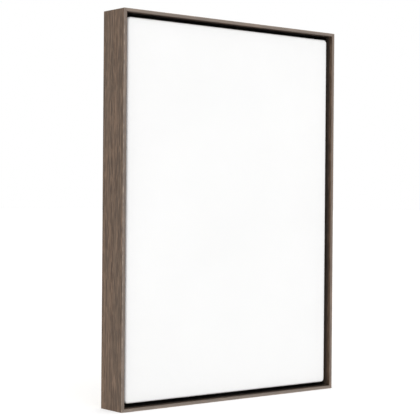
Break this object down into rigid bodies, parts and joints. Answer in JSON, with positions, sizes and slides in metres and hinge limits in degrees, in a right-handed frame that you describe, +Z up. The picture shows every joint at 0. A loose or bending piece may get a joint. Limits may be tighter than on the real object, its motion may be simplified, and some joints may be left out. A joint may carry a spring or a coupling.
{
  "type": "stretched canvas",
  "caption": "Blank primed canvas stretched over keyed wooden bars and set into a slim wood-grain floater frame with a black reveal, with ring hangers at the back.",
  "frame": {"origin": "middle of the underside: mid-width, and mid-depth of the frame with its wall bumpers, on the surface it stands on", "axes": "+Z up, along the long side; the painting side faces -Y and the wall side +Y; +X to the right seen from the front"},
  "size_m": [0.268, 0.037, 0.3696],
  "materials": {
    "frame_wood": "matte wood-grain foil, black inside",
    "bar_wood": "planed raw pine",
    "key_wood": "sawn raw beech",
    "canvas": "white primed cotton duck, raw behind",
    "staple_steel": "galvanised wire",
    "screw_steel": "zinc plated",
    "hanger_steel": "nickel plated",
    "bumper_rubber": "matte"
  },
  "bodies": {
    "framed_canvas": {"frame_rail_top": "frame_wood", "frame_rail_bottom": "frame_wood", "frame_stile_left": "frame_wood", "frame_stile_right": "frame_wood", "frame_v_nails": "staple_steel", "stretcher_bar_top": "bar_wood", "stretcher_bar_bottom": "bar_wood", "stretcher_bar_left": "bar_wood", "stretcher_bar_right": "bar_wood", "canvas": "canvas", "canvas_staples": "staple_steel", "fixing_screws": "screw_steel", "hanger_strap_left": "hanger_steel", "hanger_strap_right": "hanger_steel", "hanger_screws": "screw_steel", "wall_bumper_left": "bumper_rubber", "wall_bumper_right": "bumper_rubber"},
    "hanger_ring_left": {"hanger_ring_left": "hanger_steel"},
    "hanger_ring_right": {"hanger_ring_right": "hanger_steel"},
    "key_top_bar_left": {"key_top_bar_left": "key_wood"},
    "key_top_bar_right": {"key_top_bar_right": "key_wood"},
    "key_bottom_bar_left": {"key_bottom_bar_left": "key_wood"},
    "key_bottom_bar_right": {"key_bottom_bar_right": "key_wood"},
    "key_left_bar_top": {"key_left_bar_top": "key_wood"},
    "key_left_bar_bottom": {"key_left_bar_bottom": "key_wood"},
    "key_right_bar_top": {"key_right_bar_top": "key_wood"},
    "key_right_bar_bottom": {"key_right_bar_bottom": "key_wood"}
  },
  "joints": [
    {"name": "ring_left_swing", "type": "hinge", "parent": "framed_canvas", "child": "hanger_ring_left", "pos_m": [-0.1105, 0.01638, 0.2796], "axis": [0, 0, 1], "range_deg": [0, 175]},
    {"name": "ring_right_swing", "type": "hinge", "parent": "framed_canvas", "child": "hanger_ring_right", "pos_m": [0.1105, 0.01638, 0.2796], "axis": [0, 0, -1], "range_deg": [0, 175]},
    {"name": "key_top_bar_left_slide", "type": "slide", "parent": "framed_canvas", "child": "key_top_bar_left", "axis": [0, 0, -1], "range_m": [0, 0.018]},
    {"name": "key_top_bar_right_slide", "type": "slide", "parent": "framed_canvas", "child": "key_top_bar_right", "axis": [0, 0, -1], "range_m": [0, 0.018]},
    {"name": "key_bottom_bar_left_slide", "type": "slide", "parent": "framed_canvas", "child": "key_bottom_bar_left", "axis": [0, 0, 1], "range_m": [0, 0.018]},
    {"name": "key_bottom_bar_right_slide", "type": "slide", "parent": "framed_canvas", "child": "key_bottom_bar_right", "axis": [0, 0, 1], "range_m": [0, 0.018]},
    {"name": "key_left_bar_top_slide", "type": "slide", "parent": "framed_canvas", "child": "key_left_bar_top", "axis": [1, 0, 0], "range_m": [0, 0.018]},
    {"name": "key_left_bar_bottom_slide", "type": "slide", "parent": "framed_canvas", "child": "key_left_bar_bottom", "axis": [1, 0, 0], "range_m": [0, 0.018]},
    {"name": "key_right_bar_top_slide", "type": "slide", "parent": "framed_canvas", "child": "key_right_bar_top", "axis": [-1, 0, 0], "range_m": [0, 0.018]},
    {"name": "key_right_bar_bottom_slide", "type": "slide", "parent": "framed_canvas", "child": "key_right_bar_bottom", "axis": [-1, 0, 0], "range_m": [0, 0.018]}
  ]
}
